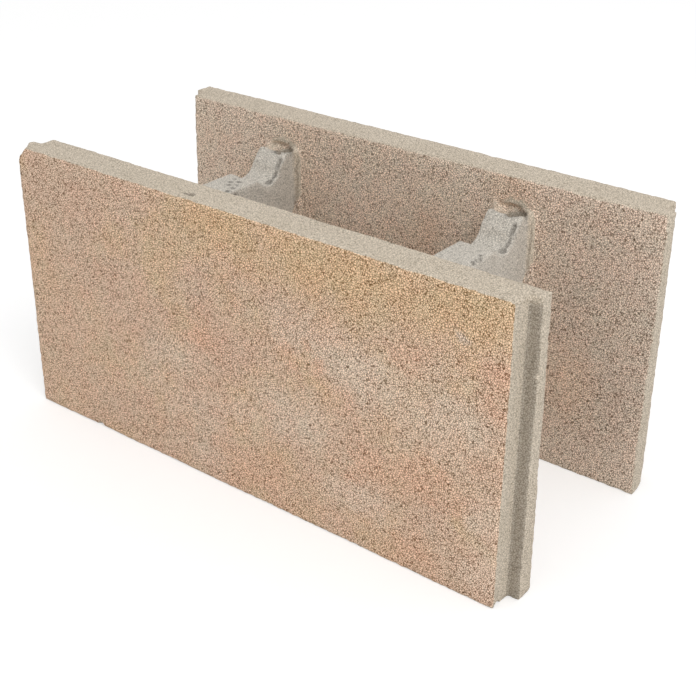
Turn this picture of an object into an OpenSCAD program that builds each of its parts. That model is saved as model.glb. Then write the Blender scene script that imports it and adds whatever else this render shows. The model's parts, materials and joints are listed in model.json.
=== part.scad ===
/* [Block] */
// Laid length, from one end of the outer leaves to the other
block_l = 500; // [400:5:600]
// Width across the wall, over both face shells
block_w = 240; // [200:5:365]
// Height of the face shells
block_h = 250; // [190:5:300]

/* [Face shells and cells] */
// Thickness of a face shell along its top edge
shell_t = 33; // [28:0.5:42]
// Draft that lets the mould cores draw out: what each cell wall gains from top to bottom
core_draft = 5; // [1:0.5:8]
// Radius of the fillet between web and shell, at the top of the cells
fillet_r = 9; // [8.5:0.5:24]

/* [Lapped ends] */
// How far the tongue of an inner leaf stands out past the outer leaf
lap_reach = 10; // [5:0.5:18]
// Thickness of the outer leaf beside the tongue
lap_depth = 21; // [14:0.5:24]
// Play across the lap, between a tongue and the rebate of the next block
lap_play = 2.5; // [0.5:0.5:5]
// Gap left in front of a tongue when the outer leaves touch
lap_gap = 0.5; // [0.5:0.5:3]

/* [Webs] */
// Thickness of a web at the level of the shells' top
web_t = 32; // [26:0.5:46]
// Drop from the shells' top to the middle of a web
web_drop = 42; // [32:0.5:80]
// Rise from the middle of a web to its shoulders
shoulder_rise = 15; // [8:0.5:24]
// Width of a shoulder's flat, from the shell to its slope
shoulder_w = 16; // [8:0.5:22]
// Run of the slope from a shoulder down to the middle of the web
slope_w = 13; // [6:0.5:18]

/* [Bar seats] */
// Cover of a reinforcing bar: from the shell to the centre of its seat
seat_cover = 41; // [32:0.5:50]
// Radius of a seat's round bottom
seat_r = 16; // [10:0.5:20]
// Depth of a seat below the middle of the web
seat_depth = 8; // [3:0.5:9]

/* [Hidden] */
$fn = 64;
concrete = [0.72, 0.64, 0.55];
// How far a cut runs past the face that it opens
past = 2;

// The origin is halfway along the block with its tongues
outer_x0 = -(block_l + lap_reach) / 2;
outer_x1 = outer_x0 + block_l;
rebate_depth = lap_depth - lap_play;
// The webs stand half a length apart, so that they line up in a half bond
web_xs = [outer_x0 + block_l / 4, outer_x1 - block_l / 4];
web_h = block_h - web_drop;
shoulder_h = web_h + shoulder_rise;
// Half width of the cells at the shells' top, and how far the draft brings a wall in at height z
cell_y = block_w / 2 - shell_t;
function drawn_in(z) = core_draft * (1 - z / block_h);

// Plan of the block with its cells still full: leaves, tongues and rebates
module lapped_plan() {
    tongue_w = block_w - 2 * lap_depth;
    rebate_w = block_w - 2 * rebate_depth;
    rebate_l = lap_reach + lap_gap;
    difference() {
        union() {
            translate([outer_x0, -block_w / 2]) square([block_l, block_w]);
            translate([outer_x1 - past, -tongue_w / 2]) square([past + lap_reach, tongue_w]);
        }
        translate([outer_x0 - past, -rebate_w / 2]) square([past + rebate_l, rebate_w]);
    }
}

// Upright section of a core between two walls, whose places are given at the shells' top
module drafted_section(low, high) {
    top = block_h + past;
    polygon([
        [low + drawn_in(-past), -past],
        [high - drawn_in(-past), -past],
        [high - drawn_in(top), top],
        [low + drawn_in(top), top]
    ]);
}

// Mould core of one cell, from wall to wall along the block; its corners are upright cones
module core(x0, x1) {
    top = block_h + past;
    corner_xs = [x0 + fillet_r, x1 - fillet_r];
    corner_y = cell_y - fillet_r;
    rotate([90, 0, 0]) linear_extrude(2 * corner_y, center = true) drafted_section(x0, x1);
    translate([corner_xs[0], 0, 0]) rotate([90, 0, 90]) linear_extrude(corner_xs[1] - corner_xs[0])
        drafted_section(-cell_y, cell_y);
    for (x = corner_xs, y = [-corner_y, corner_y])
        translate([x, y, -past])
            cylinder(h = top + past, r1 = fillet_r - drawn_in(-past), r2 = fillet_r - drawn_in(top));
}

// Section across the wall of the shoe that presses both webs down between the shells
module shoe_section() {
    top = block_h + past;
    wall_y = cell_y - drawn_in(shoulder_h);
    slope_y = wall_y - shoulder_w;
    for (side = [0, 1]) mirror([side, 0]) {
        polygon([
            [0, web_h],
            [slope_y - slope_w, web_h],
            [slope_y, shoulder_h],
            [wall_y, shoulder_h],
            [cell_y - drawn_in(top), top],
            [0, top]
        ]);
        translate([wall_y - seat_cover, web_h - seat_depth + seat_r]) circle(seat_r);
    }
}

// The block comes out of the mould in one piece: full plan, less three cores, less the shoe
module formwork_block() {
    end_x = outer_x1 + lap_reach + past;
    color(concrete) difference() {
        linear_extrude(block_h) lapped_plan();
        core(-end_x - fillet_r, web_xs[0] - web_t / 2);
        core(web_xs[0] + web_t / 2, web_xs[1] - web_t / 2);
        core(web_xs[1] + web_t / 2, end_x + fillet_r);
        rotate([90, 0, 90]) linear_extrude(2 * end_x, center = true) shoe_section();
    }
}

formwork_block();
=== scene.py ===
# %% [markdown]
# # A formwork block of pigmented concrete
# The object is a hollow block for cast walls: two face shells joined by two low webs. A machine presses an
# earth-dry mix into a steel mould and strips it at once, so the block is sharp in its main shape and rough
# in its surface. The CAD model holds the main shape. This script adds what the press and the handling
# leave: crumbled arrises, broken corners, hollows, pores and the cloudy sandstone colour.

# %% Load the CAD model
import json
import math

import bmesh
import bpy
import numpy as np
from mathutils import Matrix, Vector

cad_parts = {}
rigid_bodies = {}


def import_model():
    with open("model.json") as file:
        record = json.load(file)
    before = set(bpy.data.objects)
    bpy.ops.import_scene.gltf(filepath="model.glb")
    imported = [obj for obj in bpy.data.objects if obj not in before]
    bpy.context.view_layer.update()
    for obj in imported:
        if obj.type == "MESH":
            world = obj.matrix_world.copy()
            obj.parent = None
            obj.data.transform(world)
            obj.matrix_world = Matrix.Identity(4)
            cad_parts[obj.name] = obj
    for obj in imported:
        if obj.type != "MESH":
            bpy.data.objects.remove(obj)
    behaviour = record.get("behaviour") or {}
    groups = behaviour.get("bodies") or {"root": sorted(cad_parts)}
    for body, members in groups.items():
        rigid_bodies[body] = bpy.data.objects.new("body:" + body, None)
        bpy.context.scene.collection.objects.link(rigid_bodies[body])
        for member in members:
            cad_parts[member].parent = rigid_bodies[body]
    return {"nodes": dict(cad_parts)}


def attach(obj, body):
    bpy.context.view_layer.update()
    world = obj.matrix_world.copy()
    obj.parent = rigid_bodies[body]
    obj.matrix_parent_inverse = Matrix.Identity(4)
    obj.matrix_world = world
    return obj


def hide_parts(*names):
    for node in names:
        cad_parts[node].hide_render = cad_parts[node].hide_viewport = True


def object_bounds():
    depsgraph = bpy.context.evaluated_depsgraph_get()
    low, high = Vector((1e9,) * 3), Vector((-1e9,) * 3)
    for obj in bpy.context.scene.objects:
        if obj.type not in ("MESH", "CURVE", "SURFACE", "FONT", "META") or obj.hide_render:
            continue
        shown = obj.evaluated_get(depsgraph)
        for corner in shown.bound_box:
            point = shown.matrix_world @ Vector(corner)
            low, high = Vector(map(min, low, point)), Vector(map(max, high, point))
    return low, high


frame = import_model()
cad_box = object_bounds()
cad_block = frame["nodes"]["formwork_block"]
MM = 0.001
BOX_LOW, BOX_HIGH = [[round(v / MM, 1) for v in corner] for corner in cad_box]


def mm(*values):
    """Millimetres to metres, one number or a whole point."""
    return values[0] * MM if len(values) == 1 else tuple(v * MM for v in values)


def only(obj):
    """Select one object and nothing else, because an operator acts on all that is selected."""
    bpy.ops.object.select_all(action="DESELECT")
    obj.select_set(True)
    bpy.context.view_layer.objects.active = obj


print("CAD box in mm:", BOX_LOW, BOX_HIGH)

# %% [markdown]
# ## Camera
# The photograph was taken from the right and from above with a normal to long lens. The camera's place and
# turn were found by matching the block's long straight edges, so the same numbers frame the model.

# %% Set the camera
FRAME_PX = 696
FOCAL_PX = 1301.8
SENSOR_MM = 36
CAMERA_PLACE = (629.7, -788.6, 611.2)
AZIMUTH, ELEVATION, ROLL = 37.937, 27.346, 0.533

camera_turn = (
    Matrix.Rotation(math.radians(AZIMUTH), 3, "Z")
    @ Matrix.Rotation(math.radians(90 - ELEVATION), 3, "X")
    @ Matrix.Rotation(math.radians(ROLL), 3, "Z")
)
bpy.ops.object.camera_add(location=mm(*CAMERA_PLACE), rotation=camera_turn.to_euler())
camera = bpy.context.object
camera.name = "photo_camera"
camera.data.sensor_width = SENSOR_MM
camera.data.lens = SENSOR_MM * FOCAL_PX / FRAME_PX
bpy.context.scene.camera = camera
print("lens in mm:", round(camera.data.lens, 2))

# %% [markdown]
# ## The cast block
# The relief needs a mesh that is fine all over, and the CAD mesh has only long triangles. So a copy of the
# CAD block is merged into one closed skin, damaged with rough cutters while it is still light, and then
# remeshed into even small faces. The CAD block itself stays as it is, for collision.

# %% Copy the CAD block and close its skin
WELD_MM = 0.01
only(cad_block)
bpy.ops.object.duplicate()
block = bpy.context.object
block.name = "cast_block"
bpy.ops.object.parent_clear(type="CLEAR_KEEP_TRANSFORM")
bpy.ops.object.mode_set(mode="EDIT")
bpy.ops.mesh.select_all(action="SELECT")
bpy.ops.mesh.remove_doubles(threshold=mm(WELD_MM))
bpy.ops.object.mode_set(mode="OBJECT")
print("merged copy:", len(block.data.vertices), "corners,", len(block.data.polygons), "faces")

# %% [markdown]
# The arrises crumble, and the flat faces do not. To tell them apart later, a second copy is reduced to the
# wire of its outward edges: an edge that turns outwards by a large angle stays, everything else is deleted.

# %% Keep a wire of the sharp arrises
SHARP_DEGREES = 35
only(block)
bpy.ops.object.duplicate()
arrises = bpy.context.object
arrises.name = "arris_wire"
bpy.ops.object.mode_set(mode="EDIT")
bpy.ops.mesh.select_mode(type="EDGE")
bpy.ops.mesh.select_all(action="DESELECT")
for edge in bmesh.from_edit_mesh(arrises.data).edges:
    edge.select = edge.calc_face_angle_signed(0) < math.radians(SHARP_DEGREES)
bpy.ops.mesh.delete(type="EDGE")
bpy.ops.mesh.select_all(action="SELECT")
bpy.ops.mesh.delete(type="ONLY_FACE")
bpy.ops.object.mode_set(mode="OBJECT")
print("arris wire:", len(arrises.data.edges), "edges,", len(arrises.data.polygons), "faces")

# %% [markdown]
# ## Breaks, hollows and pits
# A corner of dry concrete breaks along a rough, slightly hollow face. An ico sphere stretched into a lens
# and displaced with a cloud texture makes such a face where it is cut away. The same lump makes the hollows
# that the press left on the shoulders of the webs, and the deep pores.

# %% Tools for rough lumps
def clouds(name, size, depth=2):
    """A cloud texture whose blotches are about size metres across."""
    texture = bpy.data.textures.new(name, "CLOUDS")
    texture.noise_scale = size
    texture.noise_depth = depth
    return texture


def finish_with(obj, kind, **settings):
    """Add a modifier, give it its settings and apply it."""
    only(obj)
    modifier = obj.modifiers.new(kind.lower(), kind)
    for key, value in settings.items():
        setattr(modifier, key, value)
    bpy.ops.object.modifier_apply(modifier=modifier.name)


BREAK_MM, LARGE_LUMP = 5, 5
broken = clouds("broken_concrete", mm(BREAK_MM))


def rough_lump(centre, radii, rough=1.0, turn=(0, 0, 0)):
    """An ellipsoid with a broken skin: centre and radii in mm, turn in degrees, rough as depth in mm."""
    bpy.ops.object.select_all(action="DESELECT")
    fine = 4 if max(radii) > LARGE_LUMP else 3
    bpy.ops.mesh.primitive_ico_sphere_add(subdivisions=fine, radius=1, location=mm(*centre))
    lump = bpy.context.object
    lump.scale = mm(*radii)
    lump.rotation_euler = [math.radians(a) for a in turn]
    bpy.ops.object.transform_apply(location=True, rotation=True, scale=True)
    finish_with(
        lump, "DISPLACE", texture=broken, texture_coords="LOCAL", strength=mm(2 * rough), mid_level=0.5
    )
    return lump


def cut_away(lump):
    """Take a lump out of the block."""
    finish_with(block, "BOOLEAN", operation="DIFFERENCE", solver="MANIFOLD", object=lump)
    bpy.data.objects.remove(lump)


# %% Break the corners
BROKEN_CORNERS = {
    # centre, radii and roughness, all in mm
    "front top left": ((-262, -128, 258), (20, 25, 21), 1.0),
    "notch under it": ((-257.5, -121, 240), (4.5, 5, 3.5), 0.6),
    "front bottom left": ((-296, -150, -38), (63, 46, 52), 1.5),
    "front bottom edge": ((-244, -128, -22), (26, 14, 24.5), 0.8),
    "back bottom right": ((266, 107, -13), (22, 20, 24), 1.2),
    "tongue arris low": ((258, -80, 53), (4.5, 4.5, 5), 0.8),
    "tongue arris foot": ((259, -79, 30), (5.5, 5, 14), 1.0),
    "tongue arris mid": ((258.5, -81, 84), (4, 4, 12), 0.8),
    "tongue foot": ((262, -82, -8), (10, 12, 12), 1.0),
    "tongue top": ((262, -103, 259), (13, 10, 15), 0.8),
}
for centre, radii, rough in BROKEN_CORNERS.values():
    cut_away(rough_lump(centre, radii, rough))
print("broken corners:", len(BROKEN_CORNERS))

# %% [markdown]
# Stacking and loading nick the arrises. The nicks need no special place, so they are thrown along the wire
# with a seeded dice: one every hundred millimetres or so, most of them small.

# %% Nick the arrises
NICKS, NICK_STRAY, NICK_ROUGH = 90, 0.6, 0.5
NICK_LEAST, NICK_SPREAD, NICK_STRETCH = 1.0, 1.9, (0.8, 1.6)
dice = np.random.default_rng(24)
ends = np.array([[arrises.data.vertices[v].co for v in edge.vertices] for edge in arrises.data.edges]) / MM
lengths = np.linalg.norm(ends[:, 1] - ends[:, 0], axis=1)
for edge in dice.choice(len(ends), NICKS, p=lengths / lengths.sum()):
    centre = ends[edge, 0] + dice.random() * (ends[edge, 1] - ends[edge, 0]) + dice.normal(0, NICK_STRAY, 3)
    size = NICK_LEAST + NICK_SPREAD * dice.random() ** 3
    cut_away(rough_lump(centre, size * dice.uniform(*NICK_STRETCH, 3), NICK_ROUGH))
print("nicks:", NICKS, "on", round(lengths.sum()), "mm of arris")

# %% [markdown]
# Each web carries a shoulder beside either shell. On the real block the shoe of the press tore the mix
# there, so the shoulder is a ragged hollow that reaches under an arched lip of the shell, and the web's
# right edge has a torn groove down the slope. The places of these cuts are kept in a list, because their
# insides get painted shade and a darker open skin later.

# %% Hollow the shoulders and tear the slopes
LAP_REACH, WEB_DROP, SHOULDER_RISE = 10, 42, 15
BED = BOX_HIGH[2]
WEB_TOP = BED - WEB_DROP
SHOULDER_Z = WEB_TOP + SHOULDER_RISE
OUTER_ENDS = (BOX_LOW[0], BOX_HIGH[0] - LAP_REACH)
WEB_FROM_END = (OUTER_ENDS[1] - OUTER_ENDS[0]) / 4
WEB_XS = (OUTER_ENDS[0] + WEB_FROM_END, OUTER_ENDS[1] - WEB_FROM_END)
SHOULDER_CUTS = [
    # along the block from the web's middle, across from the wall's middle, height; then radii, pitch,
    # roughness and the darkness of the painted shade and open skin inside
    ((-3, 81, SHOULDER_Z - 0.5), (15, 9, 4.5), 0, 1.5, 0.1),
    ((5, 79, SHOULDER_Z - 3), (10.5, 9, 5.5), 0, 1.6, 1.0),
    ((13, 63.5, SHOULDER_Z - 8.5), (2.1, 6, 2.8), 49, 0.7, 0.85),
    ((13.5, 57, WEB_TOP - 2.5), (1.8, 5, 2.6), 40, 0.7, 0.85),
    ((12.5, 50, WEB_TOP - 7.2), (3.2, 3.6, 3), 0, 0.7, 0.9),
]
hollows = []
for web_x in WEB_XS:
    for shell in (-1, 1):
        for (along, out, up), radii, pitch, rough, dark in SHOULDER_CUTS:
            centre = (web_x + along, shell * out, up)
            cut_away(rough_lump(centre, radii, rough, turn=(shell * pitch, 0, 0)))
            hollows.append((centre, radii, shell * pitch, dark))
print("torn places on the webs:", len(hollows))

# %% [markdown]
# A few pores are deep enough to see as holes: a cluster on the left web, a row on the right web's edge and
# one on the front shell's top. Each is a small lump sunk into its face.

# %% Sink the deep pores
PORE_STRETCH, PORE_ROUGH = 1.2, 0.4
DEEP_PORES = {
    # middle of a face, then each pore's offset from it and its radius, all in mm
    (0, 0, BED): [(-56, -109.5, 0, 2.6), (-61, -110.5, 0, 1.8)],
    (WEB_XS[0], 0, WEB_TOP): [
        (-1, 14, 0, 2.0), (5, 19, 0, 2.2), (3, 8, 0, 1.8), (11, 4, 0, 2.0),
        (9, 12, 0, 1.7), (13, -5, 0, 1.9), (-3, 22, 0, 1.6), (16, 1, -5, 1.8),
    ],
    (WEB_XS[1], 0, WEB_TOP): [
        (16, 2, -1, 1.9), (16, 7, -0.5, 1.7), (16.5, 12.5, -1, 2.0), (13, 16, 0, 1.6),
    ],
}
for face_middle, pores_there in DEEP_PORES.items():
    for *offset, radius in pores_there:
        centre = [m + o for m, o in zip(face_middle, offset)]
        radii = (PORE_STRETCH * radius, radius, radius)
        cut_away(rough_lump(centre, radii, PORE_ROUGH))
        hollows.append((centre, radii, 0, 1.0))
print("deep pores:", sum(len(pores_there) for pores_there in DEEP_PORES.values()))

# %% [markdown]
# ## An even skin
# Voxel remesh rebuilds the block from small cubes of space, which gives faces of one size and takes the
# knife edge off every arris. The voxels are as small as the relief that the geometry has to carry.

# %% Remesh
VOXEL_MM = 1.4
finish_with(block, "REMESH", mode="VOXEL", voxel_size=mm(VOXEL_MM), use_smooth_shade=True)
print("even skin:", len(block.data.polygons), "faces")

# %% [markdown]
# ## Crumbled arrises and a pressed face
# Vertex Weight Proximity writes into a vertex group how near each point is to the wire of arrises. Smooth
# rounds the arrises a little, so that their points face outwards at a slant. Displace then moves the skin by
# cloud textures. Waves and lumps swing to either side of the CAD face by about half a millimetre at most.
# Crumbs work only where the group is strong, and they mostly eat into the block.

# %% Weigh the points near an arris and round them
ARRIS_REACH = 4
near_arris = block.vertex_groups.new(name="near_arris")
near_arris.add(range(len(block.data.vertices)), 1.0, "REPLACE")
finish_with(
    block, "VERTEX_WEIGHT_PROXIMITY", vertex_group="near_arris", target=arrises, proximity_mode="GEOMETRY",
    proximity_geometry={"EDGE"}, min_dist=mm(ARRIS_REACH), max_dist=0.0, falloff_type="SMOOTH",
)
finish_with(block, "SMOOTH", factor=0.5, iterations=2, vertex_group="near_arris")

# %% Move the skin
RELIEF = [
    # name, size and depth in mm, level of the cloud that stays in place, vertex group
    ("pressed_waves", 60, 0.8, 0.5, ""),
    ("sandy_lumps", 6, 0.6, 0.5, ""),
    ("arris_crumbs", 5, 1.2, 0.2, "near_arris"),
]
for name, size, depth, level, group in RELIEF:
    finish_with(
        block, "DISPLACE", texture=clouds(name, mm(size)), texture_coords="LOCAL", direction="NORMAL",
        strength=-mm(depth), mid_level=level, vertex_group=group,
    )
bpy.data.objects.remove(arrises)
print("layers of relief:", len(RELIEF))

# %% [markdown]
# The even skin has far more faces than a reusable part should carry. Decimate merges faces where the skin
# is flat and keeps the crumbled arrises, until the block is below 200,000 triangles.

# %% Thin the mesh
MOST_TRIANGLES = 196000
finish_with(block, "TRIANGULATE")
share = MOST_TRIANGLES / len(block.data.polygons)
finish_with(block, "DECIMATE", ratio=share, use_collapse_triangulate=True)
only(block)
bpy.ops.object.shade_smooth()
print("thinned:", len(block.data.polygons), "triangles")

# %% [markdown]
# ## Torn places and their painted shade
# Torn hollows and deep pores are painted darker than their shape alone makes them: partly painted shade,
# for the light that does not reach into them, and partly their open skin that was never rubbed. An attribute
# holds how dark each point is painted, and fades out at the rim of its hollow.
# The shallow hollows on the shoulders are hardly darker, but coloured face mix has crumbled into them.

# %% Mark the painted shade and open skin inside the hollows
FADE_END, FADE_WIDTH = 1.2, 0.2
SHALLOW = 0.5
corners = np.empty(len(block.data.vertices) * 3)
block.data.vertices.foreach_get("co", corners)
points = corners.reshape(-1, 3) / MM
x, y, z = points.T

open_skin_and_shade, stained = np.zeros(len(points)), np.zeros(len(points))
for centre, radii, pitch, dark in hollows:
    turned = np.array(Matrix.Rotation(math.radians(pitch), 3, "X"))
    reach = np.linalg.norm((points - centre) @ turned / radii, axis=1)
    within = np.clip((FADE_END - reach) / FADE_WIDTH, 0, 1)
    open_skin_and_shade = np.maximum(open_skin_and_shade, dark * within)
    if dark < SHALLOW:
        stained = np.maximum(stained, within)
# This attribute holds the painted shade inside the hollows together with their darker open skin.
torn_skin_and_shade = block.data.attributes.new("torn_skin_and_shade", "FLOAT", "POINT")
torn_skin_and_shade.data.foreach_set("value", open_skin_and_shade.astype(np.float32))
print("points in torn hollows:", int((open_skin_and_shade > 0.5).sum()), "and stained:", int((stained > 0.5).sum()))

# %% [markdown]
# ## Which faces are coloured
# The coloured face mix shows on the outer and inner faces of both shells. Beds, ends, laps and webs are
# pale, because there the grey core mix and cement skin show. The material needs to know how deep inside a
# coloured face a point lies, so that number, in mm, goes into a mesh attribute. Its zero line runs along
# the arrises, and over each web it follows the arch of the torn lip.

# %% Measure how far each point lies inside an outer face
OUTER_FACE = BOX_HIGH[1]
ARRIS_WRAP, END_WRAP, TOP_WRAP = 1.5, 5, 2
# A millimetre off the plane of the face takes this much from the depth
OFF_FACE = 2
across = np.abs(y)
inside_outer = np.minimum.reduce([
    BED - z + TOP_WRAP, z + ARRIS_WRAP, x - OUTER_ENDS[0] + ARRIS_WRAP, OUTER_ENDS[1] - x + END_WRAP
])
inside_outer -= OFF_FACE * (OUTER_FACE - across)
print("share on the outer faces:", round(float((inside_outer > 0).mean()), 2))

# %% Measure the same inside an inner face and store both
SHELL_T, CORE_DRAFT, REBATE_REACH = 33, 5, 10.5
WEB_HALF, ARCH_RISE, LIP_HALF = 19, 20, 2.2
STAIN_MM = 1.0
INNER_TOP = OUTER_FACE - SHELL_T
INNER_FOOT = INNER_TOP - CORE_DRAFT
inner_ends = (BOX_LOW[0] + REBATE_REACH, BOX_HIGH[0])
inner_face = INNER_TOP - CORE_DRAFT * (1 - z / BED)
beside_web = np.min([np.abs(x - web_x) for web_x in WEB_XS], axis=0) / WEB_HALF
clear_of_webs = WEB_HALF * (np.hypot(beside_web, np.maximum(z - WEB_TOP, 0) / ARCH_RISE) - 1)
clear_of_webs = np.where(z > SHOULDER_Z, np.abs(clear_of_webs) - LIP_HALF, clear_of_webs)
inside_inner = np.minimum.reduce([BED - z, z, x - inner_ends[0], inner_ends[1] - x, clear_of_webs])
inside_inner -= OFF_FACE * np.abs(across - inner_face)

inside_colour = np.where(stained > 0.5, STAIN_MM, np.maximum(inside_outer, inside_inner))
coloured = block.data.attributes.new("coloured_mm", "FLOAT", "POINT")
coloured.data.foreach_set("value", inside_colour.astype(np.float32))
print("coloured share of the points:", round(float((inside_colour > 0).mean()), 2))

# %% [markdown]
# ## Dry-cast pigmented concrete
# Earth-dry concrete is sand and fine gravel glued with little paste, so its face is open: grains of one to
# two millimetres with dark gaps between them. Iron oxide pigment is fed in unevenly, which gives clouds of
# ochre, salmon and grey. Nothing shines. The material builds this in layers: clouds, grains, pores and bump
# from the same grains.

# %% Tools for the material
def linear(hex_colour):
    """An sRGB hex colour as linear light, with alpha."""
    parts = [int(hex_colour[i:i + 2], 16) / 255 for i in (1, 3, 5)]
    return [p / 12.92 if p <= 0.04045 else ((p + 0.055) / 1.055) ** 2.4 for p in parts] + [1.0]


def add(tree, kind, inputs=None, **settings):
    """Add a node, give it its settings, and link or set its inputs."""
    made = tree.nodes.new("ShaderNode" + kind)
    for key, value in settings.items():
        setattr(made, key, value)
    for socket, value in (inputs or {}).items():
        if isinstance(value, bpy.types.NodeSocket):
            tree.links.new(value, made.inputs[socket])
        else:
            made.inputs[socket].default_value = value
    return made


def per_metre(size_mm):
    """The scale of a texture node whose features are size_mm across."""
    return 1 / mm(size_mm)


# %% Start the material
concrete = bpy.data.materials.new("dry_cast_pigmented_concrete")
concrete.use_nodes = True
tree = concrete.node_tree
shader = tree.nodes["Principled BSDF"]
place = add(tree, "TexCoord").outputs["Object"]
axes = add(tree, "SeparateXYZ", {"Vector": place}).outputs
off_middle = add(tree, "Math", {0: axes["Y"]}, operation="ABSOLUTE").outputs[0]


def bent_place(size_mm, reach_mm, detail, roughness=0.5):
    """The place of a point, shifted to and fro by a noise of this size and reach."""
    shift = add(
        tree, "TexNoise",
        {"Vector": place, "Scale": per_metre(size_mm), "Detail": detail, "Roughness": roughness},
    ).outputs["Color"]
    shift = add(tree, "VectorMath", {0: shift, 1: (0.5, 0.5, 0.5)}, operation="SUBTRACT").outputs[0]
    shift = add(tree, "VectorMath", {0: shift, "Scale": mm(reach_mm)}, operation="SCALE").outputs[0]
    return add(tree, "VectorMath", {0: place, 1: shift}, operation="ADD").outputs[0]


print("material:", concrete.name)

# %% [markdown]
# Under the clouds lies a ground colour that drifts slowly between three close tones. A noise bends the
# coordinates first, so that neither the drift nor any cloud on top of it shows a clean outline.

# %% Mix the ground colour
TAN, OCHRE, SALMON, PALE, ROSE = "#c7aa91", "#c8a983", "#cba68b", "#cbb49f", "#c4a790"
SAND = "#c8ab8b"
BEND_MM, BEND_REACH, DRIFT_MM = 38, 55, 55
bent = bent_place(BEND_MM, BEND_REACH, detail=4.0, roughness=0.65)
drift = add(tree, "TexNoise", {"Vector": bent, "Scale": per_metre(DRIFT_MM), "Detail": 3.0})
hue = add(tree, "ValToRGB", {"Fac": drift.outputs["Fac"]})
hue.color_ramp.elements[0].position, hue.color_ramp.elements[0].color = 0.36, linear(ROSE)
hue.color_ramp.elements[1].position, hue.color_ramp.elements[1].color = 0.66, linear(SAND)
hue.color_ramp.elements.new(0.5).color = linear(TAN)
pigment = hue.outputs["Color"]
print("tones in the ground colour:", len(hue.color_ramp.elements))

# %% [markdown]
# The clouds of pigment are placed one by one where they stand on the face, each as a soft ball squeezed to
# an ellipse and mixed over the ground.

# %% Lay the pigment clouds
CLOUDS = [
    # colour, middle along the block and upwards, half sizes, strength; lengths in mm
    (OCHRE, 110, 232, 140, 42, 0.9), (OCHRE, -30, 240, 60, 34, 0.8), (OCHRE, 225, 240, 45, 40, 0.9),
    (ROSE, -200, 215, 70, 60, 0.7), (TAN, -215, 80, 75, 110, 0.8), (ROSE, -140, 165, 26, 22, 0.7),
    (SALMON, -42, 135, 26, 26, 0.9), (SALMON, 120, 78, 48, 28, 0.9), (SALMON, 182, 82, 38, 26, 1.0),
    (SALMON, 15, 28, 50, 26, 0.8), (SALMON, 168, 16, 38, 18, 0.6), (SALMON, 106, 132, 16, 15, 0.9),
    (SALMON, 236, 186, 20, 34, 0.9), (SALMON, 160, 182, 20, 14, 0.7), (SALMON, 35, 158, 26, 14, 0.6),
    (PALE, -72, 108, 40, 18, 0.8), (PALE, -52, 66, 44, 24, 0.8), (PALE, 62, 92, 50, 30, 0.95),
    (PALE, 70, 168, 55, 18, 0.8), (PALE, 120, 152, 42, 32, 0.95), (PALE, 195, 145, 50, 34, 0.9),
    (PALE, 114, 46, 42, 20, 0.9), (PALE, 236, 76, 20, 26, 0.8), (PALE, 238, 26, 24, 22, 0.95),
    (PALE, 205, 212, 9, 6, 1.0), (PALE, 5, 78, 26, 16, 0.7), (PALE, -105, 78, 30, 22, 0.6),
    (PALE, -51, 24, 32, 20, 0.7), (SALMON, 66, 162, 9, 8, 0.8), (SALMON, 52, 136, 8, 8, 0.7),
    (SALMON, 82, 146, 8, 8, 0.7),
]
CLOUD_DEPTH, SOFT_RIM, FULL_AT = 26, 1.35, 0.85


def lay_clouds(ground, clouds_on_face, face_y):
    """Mix soft clouds into the ground colour of one face."""
    for colour, cloud_x, cloud_z, half_x, half_z, strength in clouds_on_face:
        spread = mm(SOFT_RIM * half_x, CLOUD_DEPTH, SOFT_RIM * half_z)
        ball = add(
            tree, "Mapping", {"Vector": bent, "Location": mm(cloud_x, face_y, cloud_z), "Scale": spread},
            vector_type="TEXTURE",
        )
        ball = add(tree, "TexGradient", {"Vector": ball.outputs[0]}, gradient_type="SPHERICAL")
        soft = add(
            tree, "MapRange", {"Value": ball.outputs["Fac"], "From Max": FULL_AT, "To Max": strength},
            interpolation_type="SMOOTHSTEP",
        )
        ground = add(
            tree, "Mix", {"Factor": soft.outputs[0], 6: ground, 7: linear(colour)}, data_type="RGBA"
        ).outputs[2]
    return ground


pigment = lay_clouds(pigment, CLOUDS, -OUTER_FACE)
print("pigment clouds on the front:", len(CLOUDS))

# %% [markdown]
# The photograph does not show the rear of the block. It gets clouds of the same kind, thrown with a seeded
# dice.

# %% Throw clouds on the rear
REAR_COUNT = 16
rear_dice = np.random.default_rng(7)
REAR_CLOUDS = [
    (
        str(rear_dice.choice([OCHRE, SALMON, PALE, ROSE])),
        rear_dice.uniform(-230, 220), rear_dice.uniform(15, 235),
        rear_dice.uniform(18, 55), rear_dice.uniform(14, 34), rear_dice.uniform(0.6, 0.95),
    )
    for _ in range(REAR_COUNT)
]
pigment = lay_clouds(pigment, REAR_CLOUDS, OUTER_FACE)
print("pigment clouds on the rear:", len(REAR_CLOUDS))

# %% [markdown]
# The inner faces get a duller pigment. A mix by the distance from the wall's middle does that, and a few
# clouds of their own lie on the inner face that shows.

# %% Dull the inner faces
INNER_TAN, INNER_ROSE, INNER_BROWN, INNER_GREY = "#d3c2b2", "#ccb29c", "#bba898", "#c3b3a2"
DULL_START, DULL_FULL, DULL_SHARE = INNER_TOP + 11, INNER_TOP + 5, 0.8
BACK_INNER = INNER_TOP - 2
BACK_CLOUDS = [
    (INNER_BROWN, 205, 120, 85, 170, 0.9), (INNER_ROSE, 185, 81, 36, 44, 0.7),
    (INNER_GREY, 218, 147, 34, 30, 0.6), (INNER_ROSE, 29, 177, 34, 30, 0.8),
    (INNER_ROSE, 116, 237, 30, 22, 0.7),
]
is_inner = add(
    tree, "MapRange",
    {"Value": off_middle, "From Min": mm(DULL_START), "From Max": mm(DULL_FULL), "To Max": DULL_SHARE},
).outputs[0]
pigment = add(
    tree, "Mix", {"Factor": is_inner, 6: pigment, 7: linear(INNER_TAN)}, data_type="RGBA"
).outputs[2]
pigment = lay_clouds(pigment, BACK_CLOUDS, BACK_INNER)
print("pigment clouds inside:", len(BACK_CLOUDS))

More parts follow.
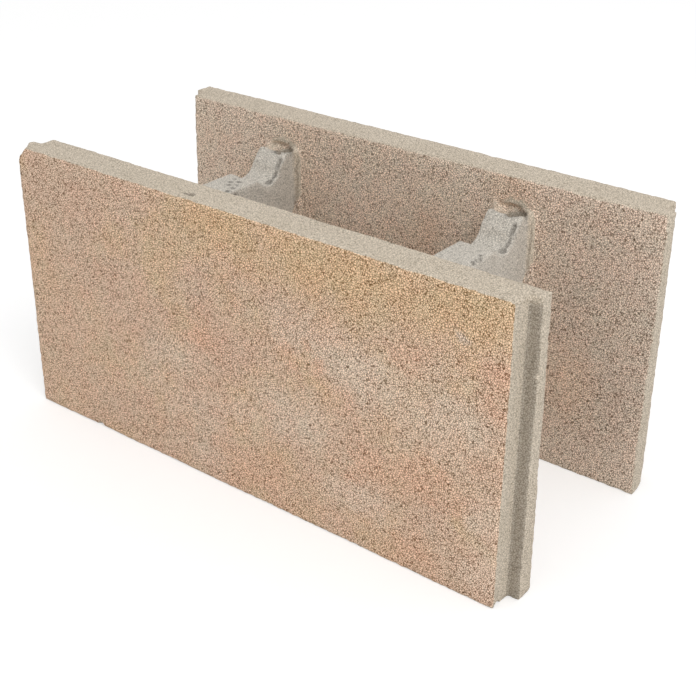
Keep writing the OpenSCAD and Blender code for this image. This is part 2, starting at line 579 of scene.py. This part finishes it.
# %% [markdown]
# On all faces the pigment varies once more from one spoonful of mix to the next, a little to pink or to
# green. Two tints close to white, parted by a noise, do that.

# %% Tint the pigment
PINK_TINT, GREEN_TINT, FLECK_MM = "#fff9f6", "#f9fdfc", 16
fleck = add(tree, "TexNoise", {"Vector": place, "Scale": per_metre(FLECK_MM), "Detail": 3.0})
fleck = add(tree, "MapRange", {"Value": fleck.outputs["Fac"], "From Min": 0.3, "From Max": 0.7})
tint = add(
    tree, "Mix", {"Factor": fleck.outputs[0], 6: linear(PINK_TINT), 7: linear(GREEN_TINT)},
    data_type="RGBA",
).outputs[2]
pigment = add(tree, "VectorMath", {0: pigment, 1: tint}, operation="MULTIPLY").outputs[0]
print("tints:", PINK_TINT, GREEN_TINT)

# %% [markdown]
# Pale mix and coloured mix meet along the arrises in a ragged line, because single grains of either lie
# across it. A noise shifts the stored depth to and fro before it parts the two. Between the shells the pale
# mix is greyer than on the beds.

# %% Find the ragged border
RAGGED_MM, RAGGED_REACH = 7, 4.0
BORDER_START, BORDER_FULL = -0.5, 2.0
depth_in = add(tree, "Attribute", attribute_name="coloured_mm").outputs["Fac"]
ragged = add(
    tree, "TexNoise", {"Vector": place, "Scale": per_metre(RAGGED_MM), "Detail": 3.0, "Roughness": 0.7}
).outputs["Fac"]
ragged = add(
    tree, "MapRange", {"Value": ragged, "To Min": -RAGGED_REACH, "To Max": RAGGED_REACH}
).outputs[0]
depth_in = add(tree, "Math", {0: depth_in, 1: ragged}, operation="ADD").outputs[0]
is_coloured = add(
    tree, "MapRange", {"Value": depth_in, "From Min": BORDER_START, "From Max": BORDER_FULL},
    interpolation_type="SMOOTHSTEP",
).outputs[0]
print("border shifted by up to", RAGGED_REACH, "mm")

# %% Part the coloured faces from the pale ones
PALE_BED, PALE_SHADE, WEB_GREY = "#ccc0af", "#bfb29f", "#c3beb5"
BLOTCH_MM = 30
GREY_START, GREY_FULL, GREY_SHARE = INNER_FOOT, INNER_FOOT - 4, 0.85
blotch = add(tree, "TexNoise", {"Vector": place, "Scale": per_metre(BLOTCH_MM), "Detail": 4.0})
pale = add(
    tree, "Mix", {"Factor": blotch.outputs["Fac"], 6: linear(PALE_SHADE), 7: linear(PALE_BED)},
    data_type="RGBA",
).outputs[2]
between_shells = add(
    tree, "MapRange",
    {"Value": off_middle, "From Min": mm(GREY_START), "From Max": mm(GREY_FULL), "To Max": GREY_SHARE},
).outputs[0]
pale = add(
    tree, "Mix", {"Factor": between_shells, 6: pale, 7: linear(WEB_GREY)}, data_type="RGBA"
).outputs[2]
base = add(tree, "Mix", {"Factor": is_coloured, 6: pale, 7: pigment}, data_type="RGBA").outputs[2]
print("pale tones:", PALE_BED, PALE_SHADE, WEB_GREY)

# %% [markdown]
# Grains of sand lie packed side by side, and each shows as a light spot in a net of dark gaps. A Voronoi
# texture measures how far a point lies from the edge of its cell, which gives just that: dark at the edge
# and light inside. A fine noise bends the coordinates first, because crushed sand has no even shape. A
# second and wider Voronoi holds a dark dot in some of its cells, for the pores where a grain is missing.

# %% Pack the grains and scatter the pores
GRAIN_MM, GAP_WIDTH, PORE_MM = 1.7, 0.16, 5
CRUSH_MM, CRUSH_REACH = 2.2, 2.6
crushed = bent_place(CRUSH_MM, CRUSH_REACH, detail=1.0)
packed = add(
    tree, "TexVoronoi", {"Vector": crushed, "Scale": per_metre(GRAIN_MM)}, feature="DISTANCE_TO_EDGE"
)
grain = add(tree, "MapRange", {"Value": packed.outputs["Distance"], "From Max": GAP_WIDTH}).outputs[0]
pores = add(tree, "TexVoronoi", {"Vector": place, "Scale": per_metre(PORE_MM)})
pore_size = add(tree, "SeparateColor", {"Color": pores.outputs["Color"]}).outputs[0]
# A pore's radius in cells; a cell where it lies well below zero has no pore
pore_size = add(tree, "MapRange", {"Value": pore_size, "To Min": -0.1, "To Max": 0.13}).outputs[0]
pore = add(tree, "Math", {0: pore_size, 1: pores.outputs["Distance"]}, operation="SUBTRACT").outputs[0]
pore = add(tree, "MapRange", {"Value": pore, "From Min": -0.04, "From Max": 0.06}).outputs[0]
print("grains of", GRAIN_MM, "mm and pores every", PORE_MM, "mm")

# %% [markdown]
# The coloured faces are more open than the pale ones, so their gaps and pores show more strongly. One
# number, openness, drives that. The result is a factor of light: below one in gaps, above one on grains.

# %% Give the grains light and shade
PALE_OPEN = 0.5
GAP_LIGHT, GRAIN_LIGHT, PORE_LIGHT = -0.1, 1.8, 0.4
openness = add(tree, "MapRange", {"Value": is_coloured, "To Min": PALE_OPEN}).outputs[0]
in_gap = add(tree, "MapRange", {"Value": openness, "To Min": 1.0, "To Max": GAP_LIGHT}).outputs[0]
on_grain = add(tree, "MapRange", {"Value": openness, "To Min": 1.0, "To Max": GRAIN_LIGHT}).outputs[0]
grain_light = add(tree, "MapRange", {"Value": grain, "To Min": in_gap, "To Max": on_grain}).outputs[0]
pore_dark = add(tree, "Math", {0: pore, 1: openness}, operation="MULTIPLY").outputs[0]
pore_light = add(tree, "MapRange", {"Value": pore_dark, "To Min": 1.0, "To Max": PORE_LIGHT}).outputs[0]
light = add(tree, "Math", {0: grain_light, 1: pore_light}, operation="MULTIPLY").outputs[0]
print("light factors of gap, grain and pore:", GAP_LIGHT, GRAIN_LIGHT, PORE_LIGHT)

# %% [markdown]
# The flank of each lap is painted darker: partly painted shade of the lap's inner corner, and partly the
# open skin that the mould drags along when the block is stripped. The darkening lies between the outer leaf
# and the tongue, takes in the corner of the leaf's end, and fades out shortly below the top. Four ramps,
# multiplied, mark it.

# %% Mark the painted shade on the lap flanks
def keep_within(amount, limits):
    """Fade an amount out past limits: a coordinate, and where in mm it starts and where it is full."""
    for coordinate, start, full in limits:
        ramp = add(tree, "MapRange", {"Value": coordinate, "From Min": mm(start), "From Max": mm(full)})
        amount = add(tree, "Math", {0: amount, 1: ramp.outputs[0]}, operation="MULTIPLY").outputs[0]
    return amount


LAP_DEPTH = 21
TONGUE_SIDE = OUTER_FACE - LAP_DEPTH
FLANK_LIMITS = [
    (axes["X"], OUTER_ENDS[1] - 2, OUTER_ENDS[1] - 1), (axes["Z"], BED - 4, BED - 9),
    (off_middle, TONGUE_SIDE - 1.6, TONGUE_SIDE - 0.6),
    (off_middle, TONGUE_SIDE + 2.5, TONGUE_SIDE + 1.2),
]
# How much painted shade and darker open skin lie on a lap flank
flank_skin_and_shade = keep_within(1.0, FLANK_LIMITS)
print("limits of a lap flank:", len(FLANK_LIMITS))

# %% [markdown]
# Beside each web the core left a crease down the shell, where the pale mix stops. A line of painted shade
# darkens that crease. Folding the length of the block twice, about the middle between the webs and about a
# web, brings all four creases onto one line. A noise lets that line wander.

# %% Mark the painted shade of the creases beside the webs
WANDER_MM, WANDER_REACH = 14, 2.5
CREASE_EDGE, CREASE_CORE = 1.1, 0.3
WEB_MIDDLE, WEB_OFFSET = sum(WEB_XS) / 2, (WEB_XS[1] - WEB_XS[0]) / 2
from_web = add(tree, "Math", {0: axes["X"], 1: mm(WEB_MIDDLE)}, operation="SUBTRACT").outputs[0]
for offset in (WEB_OFFSET, WEB_HALF):
    from_web = add(tree, "Math", {0: from_web}, operation="ABSOLUTE").outputs[0]
    from_web = add(tree, "Math", {0: from_web, 1: mm(offset)}, operation="SUBTRACT").outputs[0]
wander = add(tree, "TexNoise", {"Vector": place, "Scale": per_metre(WANDER_MM)}).outputs["Fac"]
wander = add(
    tree, "MapRange", {"Value": wander, "To Min": mm(-WANDER_REACH), "To Max": mm(WANDER_REACH)}
).outputs[0]
crease_shade = add(tree, "Math", {0: from_web, 1: wander}, operation="ADD").outputs[0]
crease_shade = add(tree, "Math", {0: crease_shade}, operation="ABSOLUTE").outputs[0]
CREASE_LIMITS = [
    (crease_shade, CREASE_EDGE, CREASE_CORE), (axes["Z"], WEB_TOP + 10, WEB_TOP + 2),
    (off_middle, INNER_FOOT - 6, INNER_FOOT - 3), (off_middle, INNER_TOP + 8, INNER_TOP + 5),
]
# How much painted shade darkens the crease
crease_shade = keep_within(1.0, CREASE_LIMITS)
print("webs with creases:", len(WEB_XS))

# %% [markdown]
# A sand grain is paler than the paste, and a gap shows the pigment deeper. So the light and shade of the
# grains are added in a greyer tone than the base colour instead of being multiplied into it, and no channel
# falls below the darkest paste. The painted shade of hollows, lap flanks and creases, with the darker open
# skin in hollows and on flanks, keeps the hue, so it multiplies the result.

# %% Join the layers
SAND_GREY, SAND_SHARE, DARKEST = "#ada9a5", 0.45, "#38281b"
TORN_SKIN_AND_SHADE_LIGHT, FLANK_SKIN_AND_SHADE_LIGHT, CREASE_SHADE_LIGHT = 0.52, 0.62, 0.68
tone = add(tree, "Mix", {"Factor": SAND_SHARE, 6: base, 7: linear(SAND_GREY)}, data_type="RGBA").outputs[2]
shade = add(tree, "Math", {0: light, 1: 1.0}, operation="SUBTRACT").outputs[0]
shade = add(tree, "VectorMath", {0: tone, "Scale": shade}, operation="SCALE").outputs[0]
skin = add(tree, "VectorMath", {0: base, 1: shade}, operation="ADD").outputs[0]
skin = add(tree, "VectorMath", {0: skin, 1: linear(DARKEST)[:3]}, operation="MAXIMUM").outputs[0]
torn_skin_and_shade_in = add(tree, "Attribute", attribute_name="torn_skin_and_shade").outputs["Fac"]
# Painted shade, with some darker open skin, darkens the hollows, lap flanks and creases here.
for amount, left in ((torn_skin_and_shade_in, TORN_SKIN_AND_SHADE_LIGHT), (flank_skin_and_shade, FLANK_SKIN_AND_SHADE_LIGHT), (crease_shade, CREASE_SHADE_LIGHT)):
    shadow = add(tree, "MapRange", {"Value": amount, "To Min": 1.0, "To Max": left}).outputs[0]
    skin = add(tree, "VectorMath", {0: skin, "Scale": shadow}, operation="SCALE").outputs[0]
print("darkest paste:", DARKEST)

# %% Bump and shader
GRAIN_HEIGHT, BUMP_MM = 0.35, 0.6
height = add(tree, "Math", {0: grain, 1: GRAIN_HEIGHT}, operation="MULTIPLY").outputs[0]
height = add(tree, "Math", {0: height, 1: pore}, operation="SUBTRACT").outputs[0]
bump = add(tree, "Bump", {"Height": height, "Strength": 0.5, "Distance": mm(BUMP_MM)})
tree.links.new(skin, shader.inputs["Base Color"])
tree.links.new(bump.outputs[0], shader.inputs["Normal"])
shader.inputs["Roughness"].default_value = 0.92
shader.inputs["Specular IOR Level"].default_value = 0.25

block.data.materials.clear()
block.data.materials.append(concrete)
print("material nodes:", len(tree.nodes))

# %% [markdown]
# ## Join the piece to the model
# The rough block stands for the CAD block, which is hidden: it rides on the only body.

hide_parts("formwork_block")
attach(block, "root")
print("piece:", block.name)

# %% [markdown]
# ## Floor and light
# The photograph has a white ground and the even light of an overcast sky. The floor is a large pale sheet
# that turns white for the eye but still takes the block's soft shadow. The sky is a plain white world, with
# one wide lamp above to give the tops a little more light than the sides.

# %% Lay the floor
FLOOR_M, FLOOR_LIFT = 30, 0.35


def eye_rays(tree):
    """One for rays that the eye follows, straight or by way of a gloss or a glass, and zero for the rest."""
    path = add(tree, "LightPath").outputs
    seen = path["Is Camera Ray"]
    for other in ("Is Glossy Ray", "Is Transmission Ray"):
        seen = add(tree, "Math", {0: seen, 1: path[other]}, operation="MAXIMUM").outputs[0]
    return seen


bpy.ops.object.select_all(action="DESELECT")
bpy.ops.mesh.primitive_plane_add(size=FLOOR_M, location=(0, 0, 0))
floor = bpy.context.object
floor.name = "studio_floor"
paper = bpy.data.materials.new("white_paper_floor")
paper.use_nodes = True
floor_tree = paper.node_tree
floor_shader = floor_tree.nodes["Principled BSDF"]
floor_shader.inputs["Base Color"].default_value = linear("#e6e6e6")
floor_shader.inputs["Roughness"].default_value = 1.0
floor_shader.inputs["Specular IOR Level"].default_value = 0.0
lift = add(floor_tree, "Math", {0: eye_rays(floor_tree), 1: FLOOR_LIFT}, operation="MULTIPLY")
floor_shader.inputs["Emission Color"].default_value = (1, 1, 1, 1)
floor_tree.links.new(lift.outputs[0], floor_shader.inputs["Emission Strength"])
floor.data.materials.append(paper)
print("floor:", FLOOR_M, "m wide")

# %% Light the scene
SKY_LIGHT = 0.75
LAMP_PLACE, LAMP_AIM = (1.9, -1.15, 2.3), (0, 0, 0.1)
world = bpy.context.scene.world or bpy.data.worlds.new("overcast_sky")
bpy.context.scene.world = world
world.use_nodes = True
sky = world.node_tree
strength = add(sky, "MapRange", {"Value": eye_rays(sky), "To Min": SKY_LIGHT, "To Max": 1.0})
sky.nodes["Background"].inputs["Color"].default_value = (1, 1, 1, 1)
sky.links.new(strength.outputs[0], sky.nodes["Background"].inputs["Strength"])

bpy.ops.object.light_add(type="AREA", location=LAMP_PLACE)
lamp = bpy.context.object
lamp.name = "wide_lamp"
lamp.data.shape = "DISK"
lamp.data.size = 1.8
lamp.data.energy = 30
lamp.rotation_euler = (Vector(LAMP_AIM) - lamp.location).to_track_quat("-Z", "Y").to_euler()

bpy.context.scene.view_settings.view_transform = "Standard"
print("lamp in W:", lamp.data.energy)
